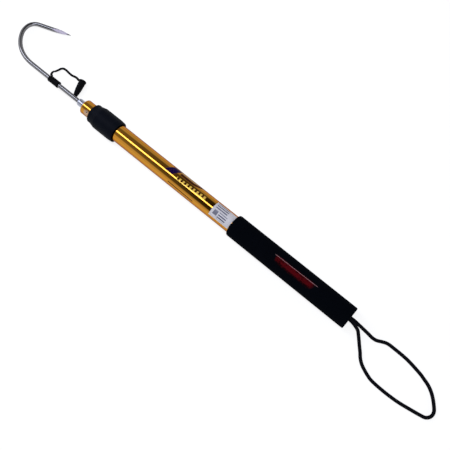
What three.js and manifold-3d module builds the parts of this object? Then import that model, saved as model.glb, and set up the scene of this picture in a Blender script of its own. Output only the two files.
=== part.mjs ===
// A two-section telescopic fishing gaff: a stainless hook in a gold tube that slides out of a gold main tube,
// locked by a black twist collar, with a foam grip, a wrist lanyard and a tethered rubber cap for the point.
// Millimetres, +Z up. The gaff lies along X with the hook at the negative end, on the surface z = 0.

import * as THREE from 'three';
import { mergeVertices } from 'three/addons/utils/BufferGeometryUtils.js';
import Module from 'manifold-3d';

const wasm = await Module();
wasm.setup();

// Clearances and the overrun that serves every cut
const seatGap = 0.15;
const slideGap = 0.12;
const runGap = 0.35;
const restGap = 0.3;
const overrun = 2;

// Tubes
const outerTubeDiameter = 25;
const outerTubeWall = 1;
const innerTubeDiameter = 21.2;
const innerTubeWall = 1;
const bareTubeLength = 204.3;
const innerTubeShowing = 16.2;
const innerTubeLipRadius = 2;

// Grip and butt
const gripLength = 188.9;
const gripDiameter = 31.2;
const gripFootRadius = 1.8;
const gripTopRadius = 2.8;
const buttFlangeThickness = 3;
const buttWebThickness = 6;
const buttPlugLength = 22.7;
const buttPlugWall = 2.6;
const lanyardHoleDiameter = 10.8;
const bufferThickness = 4.3;
const bufferWall = 5.5;

// Lock collar, with the parts it turns on and squeezes
const collarDiameter = 32;
const collarLength = 47.1;
const collarRingDiameter = 28;
const collarRingLength = 5.4;
const collarRingRound = 2;
const collarShoulderLength = 8;
const collarTaperLength = 7.2;
const collarTaperDepth = 0.6;
const collarEdgeRadius = 0.9;
const collarLipLength = 4.2;
const collarConeLength = 5.8;
const collarConeDepth = 1.6;
const threadDiameter = 27.8;
const threadPitch = 2;
const unlockTurnDegrees = 270;
const ferruleLength = 29.7;
const ferruleTaperLength = 4;
const thrustRingThickness = 2.5;
const colletHeadLength = 6.9;
const colletHeadDiameter = 26;
const colletHeadTaper = 0.6;
const colletFingerLength = 11.5;
const colletSlotWidth = 1.6;
const colletSlotCount = 4;
const wiperThickness = 1.8;
const wiperHeight = 1.5;
const wiperInset = 1.2;
const retainerThickness = 3;
const retainerInset = 1.9;
const stopSleeveLength = 65.5;

// Foot of the inner tube
const endPlugSpigotLength = 16;
const endPlugFlangeLength = 2.8;
const endPlugBore = 12;
const guideRingLength = 10;
const guideRingThickness = 1;
const guideRingSplitWidth = 1.6;
const rivetDiameter = 3;
const rivetInset = 8;

// Hook, its plug and the pin that holds it
const wireDiameter = 6;
const shankLength = 93.4;
const bendRadii = [61, 29, 14.6];
const bendTurnDegrees = [59, 28, 71.3];
const pointLegLength = 50;
const pointGroundLength = 29;
const pointTipRadius = 0.12;
const pointFlatDegrees = 30;
const plugNoseLength = 12.1;
const plugNoseDiameter = 10.4;
const plugNoseRound = 3;
const plugBodyLength = 21.5;
const shankInPlugLength = 30.5;
const pinDiameter = 3;
const pinInset = 12.1;
const pinTurnDegrees = 56;

// Rubber guard: a band on the shank, a strap and a cap for the point
const bandLength = 18;
const bandDiameter = 9.6;
const bandFromNose = 39.3;
const strapDiameter = 2.2;
const capLength = 27;
const capMouthDiameter = 11;
const capWaistDiameter = 9.2;
const capTipDiameter = 6.2;
const capMouthBore = 7.8;
const capWaistBore = 5.4;
const capEndBore = 3.2;
const capBoreDepth = 20;
const capLipLength = 3;
const capLipStep = 0.5;
const capWaistFromTip = 12.8;
const capTipPlace = [40.7, 4.6];
const capYawDegrees = 107.6;

// Label and lanyard
const labelLength = 32.3;
const labelThickness = 0.2;
const labelFromDegrees = -62;
const labelToDegrees = 43;
const lanyardDiameter = 4.6;
const knotRadius = 4.4;
const knotTubeRadius = 1.7;

// Fineness of round surfaces
const tubeSides = 40;
const smallSides = 24;
const wireSides = 18;
const cordSides = 8;
const bendStepDegrees = 7.5;
const pointSteps = 7;
const arcSteps = 5;

// Centre lines of the two cords, each point chosen by hand. The strap is measured from the floor below the
// band's end nearest the bend, the lanyard from the floor below the middle of the foot.
const strapRoute = [
  [-0.5, 4.6, 16], [-1.3, 5.0, 15.9], [-2.9, 5.6, 15.6], [-4.2, 6.7, 14.2], [-6.4, 9.9, 11.8], [-8.0, 12.9, 8.8],
  [-8.3, 15.2, 6.2], [-8.5, 17.6, 4.4], [-8.6, 21.6, 2.2], [-8.1, 25.2, 1.3], [-5.6, 27.9, 1.1], [-1.4, 28.6, 1.1],
  [2.7, 28.3, 1.1], [7.1, 27.9, 1.1], [12.1, 27.9, 1.1], [16.6, 28.9, 1.4], [20.6, 28.8, 2.8], [23.2, 28.1, 4.7],
  [26.65, 26.9, 5.6],
];
const lanyardRoute = [
  [-5.9, 1.7, 14.1], [0, 1.7, 14.1], [6, 2.0, 13.2], [12, 2.3, 10.6], [18, 2.9, 6.8], [24, 3.2, 3.8],
  [29.1, 3.1, 2.4], [35.1, 2.4, 2.3], [41.1, 3.1, 2.3], [47.6, 6.3, 2.3], [54, 8.7, 2.3], [63.1, 9.1, 2.3],
  [83.1, 8.5, 2.3], [103.2, 5.2, 2.3], [112.8, 2.5, 2.3], [121.3, -0.5, 2.3], [128.8, -5, 2.3], [135.2, -10.6, 2.3],
  [140.4, -16.4, 2.3], [143.5, -20.7, 2.3], [144.7, -25.3, 2.3], [143.6, -29.7, 2.3], [140.7, -33.0, 2.3],
  [136.7, -34.7, 2.3], [121.8, -37.5, 2.3], [103.4, -40.3, 2.3], [84.2, -41.2, 2.3], [66.6, -40.5, 2.3],
  [58.6, -38.5, 2.3], [51.3, -35.6, 2.3], [44.6, -32.1, 2.3], [39, -27.3, 2.3], [34.4, -21.7, 2.3],
  [29.4, -16.3, 2.4], [24.8, -11.3, 3.2], [20.1, -6.9, 5.8], [16.1, -3.9, 9.2], [11, -2.7, 12.9], [5.5, -2.1, 15.9],
  [0, -1.9, 17.1], [-5.9, -1.9, 17.1],
];

// Radii that follow from the sizes above
const outerTubeRadius = outerTubeDiameter / 2;
const outerTubeBore = outerTubeRadius - outerTubeWall;
const innerTubeRadius = innerTubeDiameter / 2;
const innerTubeBore = innerTubeRadius - innerTubeWall;
const gripRadius = gripDiameter / 2;
const collarRadius = collarDiameter / 2;
const threadRadius = threadDiameter / 2;
const wireRadius = wireDiameter / 2;
const axisHeight = Math.max(collarRadius, gripRadius);

// Stations along X, from the foot to the hook
const footX = 0;
const gripTopX = footX - gripLength;
const collarRearX = gripTopX - bareTubeLength;
const collarFrontX = collarRearX - collarLength;
const innerTubeFrontX = collarFrontX - innerTubeShowing;
const noseFrontX = innerTubeFrontX - plugNoseLength;
const bendStartX = noseFrontX - shankLength;
const buttFlangeFrontX = footX - buttFlangeThickness;
const outerTubeRearX = buttFlangeFrontX - restGap;
const buttPlugFrontX = footX - buttPlugLength;
const bufferFrontX = buttPlugFrontX - restGap - bufferThickness;
const endPlugRearX = bufferFrontX - restGap - seatGap;
const guideGrooveLength = guideRingLength + restGap;
const endPlugLength = 2 * endPlugFlangeLength + guideGrooveLength;
const innerTubeRearX = endPlugRearX - endPlugLength - seatGap;
const thrustRingFrontX = collarFrontX + collarLipLength + restGap;
const colletFrontX = thrustRingFrontX + thrustRingThickness + restGap;
const colletStepX = colletFrontX + colletHeadLength;
const outerTubeFrontX = colletStepX + restGap + seatGap;
const ferruleFrontX = colletStepX - ferruleTaperLength + seatGap;
const ferruleRearX = ferruleFrontX + ferruleLength;
const stopSleeveFrontX = colletStepX + colletFingerLength + restGap;
const stopSleeveRearX = stopSleeveFrontX + stopSleeveLength;
const retainerRearX = collarRearX - retainerInset;
const bandFrontX = noseFrontX - bandFromNose - bandLength;

// What the pieces' ranges of movement follow from
const slideTravel = innerTubeRearX - stopSleeveRearX;
const lockTravel = threadPitch * unlockTurnDegrees / 360;
console.log(`slide travel ${slideTravel.toFixed(2)} mm, lock travel ${lockTravel.toFixed(2)} mm`);

// Materials
function finish(color, roughness, metalness) {
  return new THREE.MeshStandardMaterial({ color, roughness, metalness });
}
const goldAnodised = finish(0xb87414, 0.3, 0.9);
const stainless = finish(0x8d8d92, 0.25, 1);
const turnedAluminium = finish(0xa5abb8, 0.35, 1);
const pinSteel = finish(0x4c4a48, 0.45, 1);
const blackPlastic = finish(0x121316, 0.4, 0);
const blackRubber = finish(0x0d0d0e, 0.65, 0);
const whiteNylon = finish(0xdcd9cf, 0.5, 0);
const brass = finish(0xb59a4f, 0.4, 1);
const gripFoam = finish(0x17171a, 0.9, 0);
const cordBlack = finish(0x0f0f11, 0.85, 0);
const labelPaper = finish(0xe6e6e2, 0.6, 0);

// Points of an ellipse's arc as [station, radius] pairs; degrees are counted from the X axis
function arc(centre, radii, fromDegrees, toDegrees, steps = arcSteps) {
  const points = [];
  for (let step = 0; step <= steps; step++) {
    const angle = THREE.MathUtils.degToRad(fromDegrees + (toDegrees - fromDegrees) * step / steps);
    points.push([centre[0] + radii[0] * Math.cos(angle), centre[1] + radii[1] * Math.sin(angle)]);
  }
  return points;
}

// A closed outline of [station, radius] pairs turned about the X axis
function turned(outline, sides = tubeSides) {
  const points = outline.map(([station, radius]) => new THREE.Vector2(radius, station));
  if (THREE.ShapeUtils.isClockWise(points)) points.reverse();
  points.push(points[0].clone());
  return new THREE.LatheGeometry(points, sides).rotateZ(-Math.PI / 2);
}

// A plain sleeve between two stations
function sleeve(fromX, toX, innerRadius, outerRadius, sides = tubeSides) {
  return turned([[fromX, innerRadius], [fromX, outerRadius], [toX, outerRadius], [toX, innerRadius]], sides);
}

// A closed skin over rings of points that all have the same count, with a fan over each end
function skin(rings) {
  const count = rings[0].length;
  const vertices = rings.flat();
  const indices = [];
  for (let ring = 0; ring + 1 < rings.length; ring++) {
    for (let side = 0; side < count; side++) {
      const a = ring * count + side;
      const b = ring * count + (side + 1) % count;
      indices.push(a, b, b + count, a, b + count, a + count);
    }
  }
  for (const [ring, flip] of [[0, true], [rings.length - 1, false]]) {
    const hub = vertices.length;
    const middle = new THREE.Vector3();
    rings[ring].forEach((point) => middle.add(point));
    vertices.push(middle.divideScalar(count));
    for (let side = 0; side < count; side++) {
      const a = ring * count + side;
      const b = ring * count + (side + 1) % count;
      indices.push(...(flip ? [hub, b, a] : [hub, a, b]));
    }
  }
  const geometry = new THREE.BufferGeometry().setFromPoints(vertices);
  geometry.setIndex(indices);
  return geometry;
}

// A round cord along points chosen by hand, with a flat end at each end
function cord(route, diameter, place, steps) {
  const points = route.map(([x, y, z]) => new THREE.Vector3(x, y, z).add(place));
  const path = new THREE.CatmullRomCurve3(points);
  const shape = new THREE.Shape();
  for (let side = 0; side < cordSides; side++) {
    const angle = 2 * Math.PI * (side + 1 / 2) / cordSides;
    const corner = [diameter / 2 * Math.cos(angle), diameter / 2 * Math.sin(angle)];
    if (side === 0) shape.moveTo(...corner);
    else shape.lineTo(...corner);
  }
  return new THREE.ExtrudeGeometry(shape, { steps, extrudePath: path, bevelEnabled: false });
}

// Joins and cuts
function toSolid(geometry) {
  const bare = geometry.clone();
  bare.deleteAttribute('normal');
  bare.deleteAttribute('uv');
  const merged = mergeVertices(bare);
  const triVerts = new Uint32Array(merged.index.array);
  const vertProperties = new Float32Array(merged.attributes.position.array);
  return new wasm.Manifold(new wasm.Mesh({ numProp: 3, vertProperties, triVerts }));
}

function cut(geometry, tools) {
  let solid = toSolid(geometry);
  for (const tool of tools) solid = solid.subtract(toSolid(tool));
  const mesh = solid.getMesh();
  const result = new THREE.BufferGeometry();
  result.setAttribute('position', new THREE.BufferAttribute(new Float32Array(mesh.vertProperties), 3));
  result.setIndex(new THREE.BufferAttribute(new Uint32Array(mesh.triVerts), 1));
  return result;
}

// A round bar across the axis at a station, turned about the axis from straight up
function crossBar(station, diameter, length, turnDegrees) {
  const bar = new THREE.CylinderGeometry(diameter / 2, diameter / 2, length, smallSides);
  return bar.rotateX(THREE.MathUtils.degToRad(90 + turnDegrees)).translate(station, 0, 0);
}

const gaff = new THREE.Group();
const pole = new THREE.Group();
const hookSection = new THREE.Group();
const loose = new THREE.Group();
pole.position.z = axisHeight;
pole.add(hookSection);
gaff.add(pole, loose);

function place(parent, name, geometry, material) {
  const mesh = new THREE.Mesh(geometry, material);
  mesh.name = name;
  parent.add(mesh);
  return mesh;
}

// Main tube, from the butt plug's flange to the collet's step
place(pole, 'outer_tube', sleeve(outerTubeFrontX, outerTubeRearX, outerTubeBore, outerTubeRadius), goldAnodised);

// Foam grip, flush with the butt plug at the foot and rounded at both ends
function gripOutline() {
  const bore = outerTubeRadius + seatGap;
  const topRound = [gripTopRadius, gripTopRadius];
  const footRound = [gripFootRadius, gripFootRadius];
  return [
    [gripTopX, bore],
    ...arc([gripTopX + gripTopRadius, gripRadius - gripTopRadius], topRound, 180, 90),
    ...arc([footX - gripFootRadius, gripRadius - gripFootRadius], footRound, 90, 0),
    [footX, bore],
  ];
}
place(pole, 'grip', turned(gripOutline()), gripFoam);

// Butt plug: a flange flush with the foot, a hollow spigot in the tube and a web with the lanyard's hole
const buttSpigotRadius = outerTubeBore - seatGap;
const buttCavityRadius = buttSpigotRadius - buttPlugWall;
const lanyardHoleRadius = lanyardHoleDiameter / 2;
const buttPlug = turned([
  [footX, lanyardHoleRadius],
  [footX, outerTubeRadius],
  [buttFlangeFrontX, outerTubeRadius],
  [buttFlangeFrontX, buttSpigotRadius],
  [buttPlugFrontX, buttSpigotRadius],
  [buttPlugFrontX, buttCavityRadius],
  [footX - buttWebThickness, buttCavityRadius],
  [footX - buttWebThickness, lanyardHoleRadius],
]);
place(pole, 'butt_plug', buttPlug, blackPlastic);

// Buffer ring that the inner tube's foot lands on
const bufferOuterRadius = outerTubeBore - seatGap;
const buffer = sleeve(bufferFrontX, buttPlugFrontX - restGap, bufferOuterRadius - bufferWall, bufferOuterRadius);
place(pole, 'butt_buffer', buffer, blackRubber);

// Stopper knot of the lanyard, in the butt plug's hollow against its web
const knotHalfDepth = knotRadius / 2 + knotTubeRadius;
const knotX = footX - buttWebThickness - restGap - knotHalfDepth;
const knotLoops = [2, 3];
const knotGeometry = new THREE.TorusKnotGeometry(knotRadius, knotTubeRadius, 2 * smallSides, cordSides, ...knotLoops);
place(pole, 'lanyard_knot', knotGeometry.rotateY(Math.PI / 2).translate(knotX, 0, 0), cordBlack);

// Threaded ferrule on the end of the main tube, with the taper that closes the collet
const colletHeadRadius = colletHeadDiameter / 2;
const colletConeEndRadius = outerTubeRadius;
const ferruleBore = outerTubeRadius + seatGap;
const ferrule = turned([
  [ferruleFrontX, colletHeadRadius + seatGap],
  [ferruleFrontX, threadRadius],
  [ferruleRearX, threadRadius],
  [ferruleRearX, ferruleBore],
  [ferruleFrontX + ferruleTaperLength, ferruleBore],
]);
place(pole, 'thread_ferrule', ferrule, turnedAluminium);

// Slotted collet: a coned head in the ferrule's taper and fingers between the two tubes
function colletGeometry() {
  const bore = innerTubeRadius + slideGap;
  const fingerRadius = outerTubeBore - seatGap;
  const fingerEndX = colletStepX + colletFingerLength;
  const body = turned([
    [colletFrontX, bore],
    [colletFrontX, colletHeadRadius - colletHeadTaper],
    [colletStepX - ferruleTaperLength - restGap, colletHeadRadius],
    [colletStepX - ferruleTaperLength, colletHeadRadius],
    [colletStepX, colletConeEndRadius],
    [colletStepX, fingerRadius],
    [fingerEndX, fingerRadius],
    [fingerEndX, bore],
  ]);
  const slots = [];
  const slotFromX = colletFrontX + thrustRingThickness;
  const slotLength = fingerEndX + overrun - slotFromX;
  for (let slot = 0; slot < colletSlotCount; slot++) {
    const reach = colletHeadRadius + overrun;
    const box = new THREE.BoxGeometry(slotLength, reach, colletSlotWidth);
    box.translate(slotFromX + slotLength / 2, reach / 2, 0);
    slots.push(box.rotateX(2 * Math.PI * slot / colletSlotCount));
  }
  return cut(body, slots);
}
place(pole, 'collet', colletGeometry(), whiteNylon);

// Long nylon sleeve in the main tube that steadies the inner tube and stops its foot
const sleeveRadii = [innerTubeRadius + seatGap, outerTubeBore - slideGap];
place(pole, 'stop_sleeve', sleeve(stopSleeveFrontX, stopSleeveRearX, ...sleeveRadii), whiteNylon);

// Thrust ring between the collar's inner cone and the collet
const collarBore = innerTubeRadius + runGap;
const coneStartRadius = collarBore + collarConeDepth - runGap;
const thrustRing = sleeve(thrustRingFrontX, thrustRingFrontX + thrustRingThickness, collarBore, coneStartRadius);
place(pole, 'thrust_ring', thrustRing, brass);

// Lock collar: a ring and a cone towards the hook, tapered towards the grip, bored for the thread and the wiper
const chamberRadius = threadRadius + restGap;
const wiperFromX = collarFrontX + wiperInset;
const wiperOuterRadius = innerTubeRadius + slideGap + wiperHeight;
function collarOutline() {
  const ringRadius = collarRingDiameter / 2;
  const ringRearX = collarFrontX + collarRingLength;
  const coneFromX = collarFrontX + collarLipLength;
  const grooveRadius = wiperOuterRadius + seatGap;
  const grooveFromX = wiperFromX - seatGap;
  const grooveToX = wiperFromX + wiperThickness + seatGap;
  const taperEndRadius = collarRadius - collarTaperDepth;
  const round = [collarRingRound, collarRingRound];
  const edge = [collarEdgeRadius, collarEdgeRadius];
  return [
    [collarFrontX, collarBore],
    ...arc([collarFrontX + collarRingRound, ringRadius - collarRingRound], round, 180, 90),
    [ringRearX, ringRadius],
    [ringRearX + collarShoulderLength, collarRadius],
    [collarRearX - collarTaperLength, collarRadius],
    ...arc([collarRearX - collarEdgeRadius, taperEndRadius - collarEdgeRadius], edge, 90, 0),
    [collarRearX, chamberRadius],
    [coneFromX + collarConeLength, chamberRadius],
    [coneFromX, collarBore + collarConeDepth],
    [coneFromX, collarBore],
    [grooveToX, collarBore],
    [grooveToX, grooveRadius],
    [grooveFromX, grooveRadius],
    [grooveFromX, collarBore],
  ];
}
place(pole, 'lock_collar', turned(collarOutline()), blackPlastic);

// Wiper ring in the collar's mouth
const wiper = sleeve(wiperFromX, wiperFromX + wiperThickness, innerTubeRadius + slideGap, wiperOuterRadius);
place(pole, 'wiper_ring', wiper, blackRubber);

// Retainer pressed into the collar's rear end, which stops it from coming off the thread
const retainerRadii = [outerTubeRadius + runGap, chamberRadius - slideGap];
const retainer = sleeve(retainerRearX - retainerThickness, retainerRearX, ...retainerRadii);
place(pole, 'collar_retainer', retainer, blackPlastic);

// Label: a thin sheet bent round the main tube, next to the grip
function labelGeometry() {
  const innerRadius = outerTubeRadius + labelThickness / 2;
  const outerRadius = innerRadius + labelThickness;
  const from = THREE.MathUtils.degToRad(90 - labelToDegrees);
  const to = THREE.MathUtils.degToRad(90 - labelFromDegrees);
  const shape = new THREE.Shape();
  shape.absarc(0, 0, outerRadius, from, to, false);
  shape.absarc(0, 0, innerRadius, to, from, true);
  const sheet = new THREE.ExtrudeGeometry(shape, {
    depth: labelLength, bevelEnabled: false, curveSegments: 2 * arcSteps,
  });
  sheet.rotateZ(Math.PI / 2).rotateY(Math.PI / 2);
  return sheet.translate(gripTopX - restGap - labelLength, 0, 0);
}
place(pole, 'label', labelGeometry(), labelPaper);

// Guide ring: a split nylon ring in the end plug's groove, which slides in the main tube
const grooveFromX = endPlugRearX - endPlugFlangeLength - guideGrooveLength;
const guideRingFromX = grooveFromX + restGap / 2;
const guideRingOuterRadius = outerTubeBore - seatGap;
const guideRingInnerRadius = guideRingOuterRadius - guideRingThickness;
function guideRingGeometry() {
  const ring = sleeve(guideRingFromX, guideRingFromX + guideRingLength, guideRingInnerRadius, guideRingOuterRadius);
  const reach = guideRingOuterRadius + overrun;
  const split = new THREE.BoxGeometry(guideRingLength + overrun, guideRingSplitWidth, reach);
  return cut(ring, [split.translate(guideRingFromX + guideRingLength / 2, 0, -reach / 2)]);
}
place(pole, 'guide_ring', guideRingGeometry(), whiteNylon);

// Inner tube, rolled in at its front end and drilled for the pin and the rivet
const pinX = innerTubeFrontX + pinInset;
const rivetX = innerTubeRearX - rivetInset;
const pinHoleDiameter = pinDiameter + 2 * slideGap;
const rivetHoleDiameter = rivetDiameter + 2 * slideGap;
const throughLength = innerTubeDiameter + 2 * overrun;
function innerTubeGeometry() {
  const lipInner = innerTubeLipRadius - innerTubeWall;
  const lipCentre = [innerTubeFrontX + innerTubeLipRadius, innerTubeRadius - innerTubeLipRadius];
  const body = turned([
    [innerTubeRearX, innerTubeBore],
    [innerTubeRearX, innerTubeRadius],
    ...arc(lipCentre, [innerTubeLipRadius, innerTubeLipRadius], 90, 180),
    ...arc(lipCentre, [lipInner, lipInner], 180, 90, arcSteps - 2),
  ]);
  return cut(body, [
    crossBar(pinX, pinHoleDiameter, throughLength, pinTurnDegrees),
    crossBar(rivetX, rivetHoleDiameter, throughLength, 0),
  ]);
}
place(hookSection, 'inner_tube', innerTubeGeometry(), goldAnodised);

// End plug in the inner tube's foot, with the guide ring's groove between its flanges
const spigotRadius = innerTubeBore - seatGap;
const endFlangeRadius = (innerTubeRadius + guideRingOuterRadius) / 2;
function endPlugGeometry() {
  const bore = endPlugBore / 2;
  const grooveToX = grooveFromX + guideGrooveLength;
  const grooveRadius = guideRingInnerRadius - restGap;
  const flangeFrontX = endPlugRearX - endPlugLength;
  const spigotFrontX = innerTubeRearX - endPlugSpigotLength;
  const body = turned([
    [spigotFrontX, bore],
    [spigotFrontX, spigotRadius],
    [flangeFrontX, spigotRadius],
    [flangeFrontX, endFlangeRadius],
    [grooveFromX, endFlangeRadius],
    [grooveFromX, grooveRadius],
    [grooveToX, grooveRadius],
    [grooveToX, endFlangeRadius],
    [endPlugRearX, endFlangeRadius],
    [endPlugRearX, bore],
  ]);
  return cut(body, [crossBar(rivetX, rivetHoleDiameter, throughLength, 0)]);
}
place(hookSection, 'end_plug', endPlugGeometry(), whiteNylon);

// Rivet through the tube and the end plug, flush with the tube's surface
const flushLength = innerTubeDiameter - seatGap;
place(hookSection, 'end_plug_rivet', crossBar(rivetX, rivetDiameter, flushLength, 0), turnedAluminium);

// Hook plug: a body behind the tube's rolled lip and a round nose that the shank comes out of
const shankBore = wireRadius + seatGap;
function hookPlugGeometry() {
  const noseRadius = plugNoseDiameter / 2;
  const bodyFrontX = innerTubeFrontX + innerTubeWall + seatGap;
  const bodyRearX = bodyFrontX + plugBodyLength;
  const lipRoom = innerTubeLipRadius - innerTubeWall;
  const round = [plugNoseRound, noseRadius - shankBore - seatGap];
  const body = turned([
    [bodyRearX, shankBore],
    [bodyRearX, spigotRadius],
    [bodyFrontX + lipRoom, spigotRadius],
    [bodyFrontX, spigotRadius - lipRoom],
    [bodyFrontX, noseRadius],
    ...arc([noseFrontX + plugNoseRound, shankBore + seatGap], round, 90, 180),
    [noseFrontX, shankBore],
  ]);
  return cut(body, [crossBar(pinX, pinHoleDiameter, throughLength, pinTurnDegrees)]);
}
place(hookSection, 'hook_plug', hookPlugGeometry(), turnedAluminium);

// Pin through tube, plug and shank, flush with the tube's surface
place(hookSection, 'cross_pin', crossBar(pinX, pinDiameter, flushLength, pinTurnDegrees), pinSteel);

// Hook: the wire's centre line in its own plane, as stations with a place, a heading and the distance run
function hookLine() {
  const line = [];
  let x = noseFrontX + shankInPlugLength;
  let across = 0;
  let heading = 180;
  const note = () => line.push({ x, across, heading: THREE.MathUtils.degToRad(heading) });
  const run = (length) => {
    x += length * Math.cos(THREE.MathUtils.degToRad(heading));
    across += length * Math.sin(THREE.MathUtils.degToRad(heading));
    note();
  };
  note();
  run(shankInPlugLength);
  run(shankLength);
  bendRadii.forEach((radius, bend) => {
    const steps = Math.ceil(bendTurnDegrees[bend] / bendStepDegrees);
    const step = bendTurnDegrees[bend] / steps;
    const chord = 2 * radius * Math.sin(THREE.MathUtils.degToRad(step / 2));
    for (let count = 0; count < steps; count++) {
      heading -= step / 2;
      x += chord * Math.cos(THREE.MathUtils.degToRad(heading));
      across += chord * Math.sin(THREE.MathUtils.degToRad(heading));
      heading -= step / 2;
      note();
    }
  });
  run(pointLegLength - pointGroundLength);
  for (let step = 0; step < pointSteps; step++) run(pointGroundLength / pointSteps);
  return line;
}

// The wire is round up to the point, where three flats run to the tip
const flatCount = 3;
function wireRadiusAt(angle, flatDistance) {
  const flatStep = 2 * Math.PI / flatCount;
  const turn = angle - THREE.MathUtils.degToRad(pointFlatDegrees);
  const fromFlat = turn - flatStep * Math.round(turn / flatStep);
  return Math.min(wireRadius, flatDistance / Math.cos(fromFlat));
}

function hookGeometry() {
  const line = hookLine();
  const firstGround = line.length - 1 - pointSteps;
  const rings = line.map((station, index) => {
    const ground = Math.max(0, index - firstGround) / pointSteps;
    const flatDistance = wireRadius + (pointTipRadius - wireRadius) * ground;
    const side = new THREE.Vector3(-Math.sin(station.heading), Math.cos(station.heading), 0);
    const up = new THREE.Vector3(0, 0, 1);
    const ring = [];
    for (let count = 0; count < wireSides; count++) {
      const angle = 2 * Math.PI * count / wireSides;
      const radius = ground > 0 ? wireRadiusAt(angle, flatDistance) : wireRadius;
      const point = new THREE.Vector3(station.x, station.across, 0);
      point.addScaledVector(up, radius * Math.cos(angle)).addScaledVector(side, -radius * Math.sin(angle));
      ring.push(point);
    }
    return ring;
  });
  return cut(skin(rings), [crossBar(pinX, pinHoleDiameter, throughLength, pinTurnDegrees)]);
}
const hook = place(hookSection, 'hook', hookGeometry(), stainless);

// The hook section lies turned about the pole until the hook touches the surface
function restingTurn(geometry) {
  const places = geometry.getAttribute('position');
  let turn = Math.PI;
  for (let index = 0; index < places.count; index++) {
    const across = places.getY(index);
    const up = places.getZ(index);
    const reach = Math.hypot(across, up);
    if (reach > axisHeight) turn = Math.min(turn, Math.atan2(up, across) + Math.asin(axisHeight / reach));
  }
  return turn;
}
hookSection.rotation.x = -restingTurn(hook.geometry);

// Guard band on the shank
const bandRadii = [wireRadius + slideGap, bandDiameter / 2];
place(pole, 'guard_band', sleeve(bandFrontX, bandFrontX + bandLength, ...bandRadii, smallSides), blackRubber);

// Strap from the band to the cap's mouth, hanging off the band and lying on the surface
const strapPlace = new THREE.Vector3(bandFrontX, 0, 0);
const strapSteps = 2 * strapRoute.length;
place(loose, 'guard_strap', cord(strapRoute, strapDiameter, strapPlace, strapSteps), blackRubber);

// Point cap: a blind rubber cone lying on the surface, tip under the shank
function capGeometry() {
  const mouthRadius = capMouthDiameter / 2;
  const tipRadius = capTipDiameter / 2;
  const boreEndX = capLength - capBoreDepth;
  return turned([
    ...arc([tipRadius, 0], [tipRadius, tipRadius], 180, 110),
    [capWaistFromTip, capWaistDiameter / 2],
    [capLength - capLipLength, mouthRadius - capLipStep],
    [capLength - capLipLength, mouthRadius],
    [capLength, mouthRadius],
    [capLength, capMouthBore / 2],
    [capWaistFromTip, capWaistBore / 2],
    [boreEndX, capEndBore / 2],
    [boreEndX, 0],
  ], smallSides);
}
const cap = place(loose, 'point_cap', capGeometry(), blackRubber);

// The cap lies on its waist and on its lip's rear edge
const capTilt = Math.atan2((capMouthDiameter - capWaistDiameter) / 2, capLength - capLipLength - capWaistFromTip);
const capTipHeight = capWaistDiameter / 2 / Math.cos(capTilt) - capWaistFromTip * Math.sin(capTilt);
cap.rotation.set(0, -capTilt, THREE.MathUtils.degToRad(capYawDegrees), 'ZYX');
cap.position.set(bandFrontX + capTipPlace[0], capTipPlace[1], capTipHeight);

// Wrist lanyard: one cord out of the butt plug, round its loop on the surface and back in
const lanyardSteps = 2 * (lanyardRoute.length - 6);
const footPlace = new THREE.Vector3(footX, 0, 0);
const lanyard = cord(lanyardRoute, lanyardDiameter, footPlace, lanyardSteps);
place(loose, 'lanyard', lanyard, cordBlack);

// The origin is under the middle of the gaff without its lanyard
gaff.updateMatrixWorld(true);
const standing = new THREE.Box3();
gaff.traverse((piece) => {
  if (piece.isMesh && piece.name !== 'lanyard') standing.expandByObject(piece, true);
});
const middle = standing.getCenter(new THREE.Vector3());
gaff.position.set(-middle.x, -middle.y, -standing.min.z);

export default gaff;
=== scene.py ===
"""Fine surfaces, finishes and a studio for a telescopic fishing gaff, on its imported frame."""

import itertools
import math

import bmesh
import bpy
from bpy.props import FloatProperty, FloatVectorProperty, IntProperty, PointerProperty
from mathutils import Matrix, Vector


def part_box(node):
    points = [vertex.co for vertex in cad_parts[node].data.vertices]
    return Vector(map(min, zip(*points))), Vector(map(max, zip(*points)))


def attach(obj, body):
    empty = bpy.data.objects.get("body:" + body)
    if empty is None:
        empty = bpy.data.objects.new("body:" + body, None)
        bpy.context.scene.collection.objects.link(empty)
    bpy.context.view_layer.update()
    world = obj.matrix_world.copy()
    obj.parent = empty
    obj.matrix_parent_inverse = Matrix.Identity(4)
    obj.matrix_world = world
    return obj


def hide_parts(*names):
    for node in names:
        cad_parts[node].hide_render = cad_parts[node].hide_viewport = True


bl_info = {
    "name": "Telescopic Gaff",
    "version": (1, 0, 0),
    "blender": (4, 5, 0),
    "location": "View3D > Sidebar > Gaff",
    "description": "Makes a telescopic fishing gaff's surfaces, finishes and studio",
    "category": "Add Mesh",
}

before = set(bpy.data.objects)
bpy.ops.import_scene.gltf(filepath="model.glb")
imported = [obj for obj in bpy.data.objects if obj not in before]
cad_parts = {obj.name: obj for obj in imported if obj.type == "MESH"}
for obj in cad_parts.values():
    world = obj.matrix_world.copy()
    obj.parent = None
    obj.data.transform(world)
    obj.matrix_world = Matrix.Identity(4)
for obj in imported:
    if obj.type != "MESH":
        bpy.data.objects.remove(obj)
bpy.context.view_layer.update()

MM = 0.001

# The tubes' axis, the foot's face, the guard band's front end, and how far the pin leans from upright
GRIP_LOW, GRIP_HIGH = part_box("grip")
AXIS = Vector((0, (GRIP_LOW.y + GRIP_HIGH.y) / 2, (GRIP_LOW.z + GRIP_HIGH.z) / 2))
FOOT_X = GRIP_HIGH.x
BAND_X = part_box("guard_band")[0].x
PIN_LEAN = math.radians(44.6)

# The camera's angles, its distance from the middle of its view in metres, and its lens
AZIMUTH, ELEVATION, AWAY = math.radians(40.59), math.radians(69.75), 0.8884
SENSOR, LENS = 36, 55.06
LOOK_AT = Vector((FOOT_X - 196.6 * MM, AXIS.y - 7.03 * MM, AXIS.z))

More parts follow.
